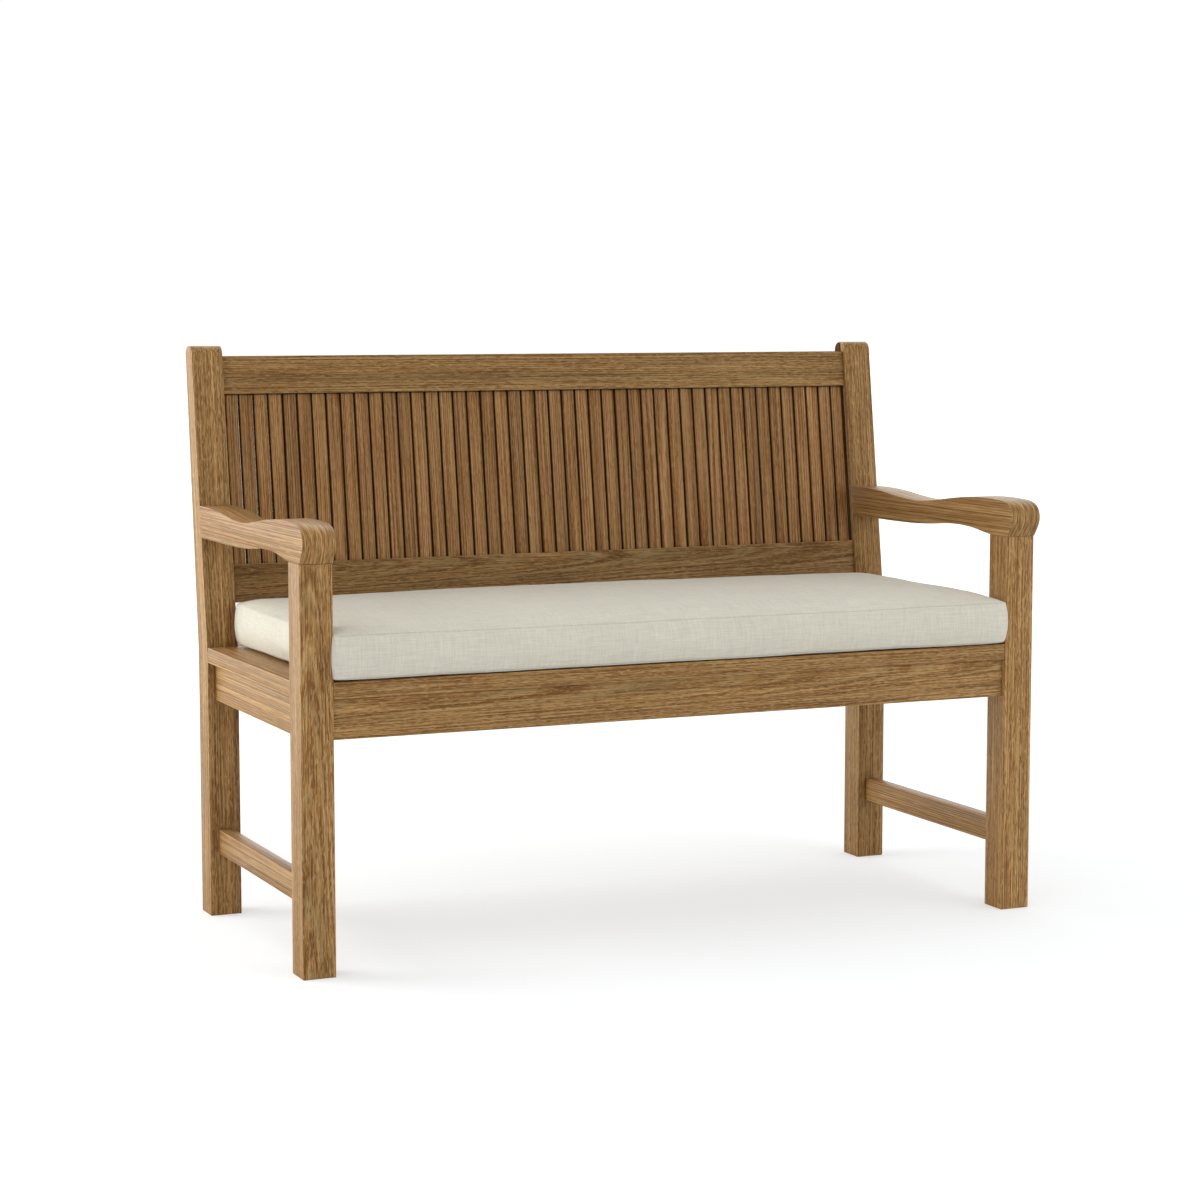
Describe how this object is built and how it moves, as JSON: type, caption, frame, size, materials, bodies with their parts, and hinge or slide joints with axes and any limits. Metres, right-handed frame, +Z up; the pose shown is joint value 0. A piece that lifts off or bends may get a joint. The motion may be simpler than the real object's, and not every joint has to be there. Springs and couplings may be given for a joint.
{
  "type": "garden bench",
  "caption": "Two-seat slatted hardwood garden bench with sculpted armrests, a raked back of narrow upright slats, side stretchers and a loose box seat cushion.",
  "frame": {"origin": "on the floor, under the middle of the bench's bounding box", "axes": "+X along the bench's length to the viewer's right, -Y is the side one sits down from, +Z up"},
  "size_m": [1.22, 0.5869, 0.9],
  "materials": {
    "teak_frame": "oiled, fine straight grain, satin",
    "teak_arms": "oiled, sanded smooth, satin",
    "teak_slats": "oiled, varied tone from slat to slat, satin",
    "teak_seat": "oiled, fine straight grain, satin",
    "cushion_fabric": "off-white linen-look outdoor canvas, plain weave, matt"
  },
  "bodies": {
    "bench_frame": {"front_leg_left": "teak_frame", "front_leg_right": "teak_frame", "rear_post_left": "teak_frame", "rear_post_right": "teak_frame", "armrest_left": "teak_arms", "armrest_right": "teak_arms", "apron_front": "teak_frame", "apron_rear": "teak_frame", "apron_left": "teak_frame", "apron_right": "teak_frame", "stretcher_left": "teak_frame", "stretcher_right": "teak_frame", "seat_bearer_left": "teak_seat", "seat_bearer_centre": "teak_seat", "seat_bearer_right": "teak_seat", "seat_front_board": "teak_seat", "seat_rear_board": "teak_seat", "seat_side_board_left": "teak_seat", "seat_side_board_right": "teak_seat", "seat_slat_1": "teak_seat", "seat_slat_2": "teak_seat", "seat_slat_3": "teak_seat", "seat_slat_4": "teak_seat", "seat_slat_5": "teak_seat", "seat_slat_6": "teak_seat", "back_lower_rail": "teak_frame", "back_top_rail": "teak_frame", "back_slats_01_02": "teak_slats", "back_slats_03_04": "teak_slats", "back_slats_05_06": "teak_slats", "back_slats_07_08": "teak_slats", "back_slats_09_10": "teak_slats", "back_slats_11_12": "teak_slats", "back_slats_13_14": "teak_slats", "back_slats_15_16": "teak_slats", "back_slats_17_18": "teak_slats", "back_slats_19_20": "teak_slats", "back_slats_21_22": "teak_slats", "back_slats_23_24": "teak_slats", "back_slats_25_26": "teak_slats", "back_slats_27_28": "teak_slats", "back_slats_29_30": "teak_slats", "back_slats_31_32": "teak_slats", "back_slats_33_34": "teak_slats", "back_slats_35_36": "teak_slats", "back_slats_37_38": "teak_slats", "back_slats_39_40": "teak_slats", "back_slats_41_42": "teak_slats", "back_slats_43_44": "teak_slats", "back_slats_45_46": "teak_slats"},
    "cushion": {"seat_cushion": "cushion_fabric"}
  },
  "joints": [
    {"name": "cushion_lift", "type": "slide", "parent": "bench_frame", "child": "cushion", "axis": [0, -0.2873, 0.9578], "range_m": [0, 0.26]}
  ]
}
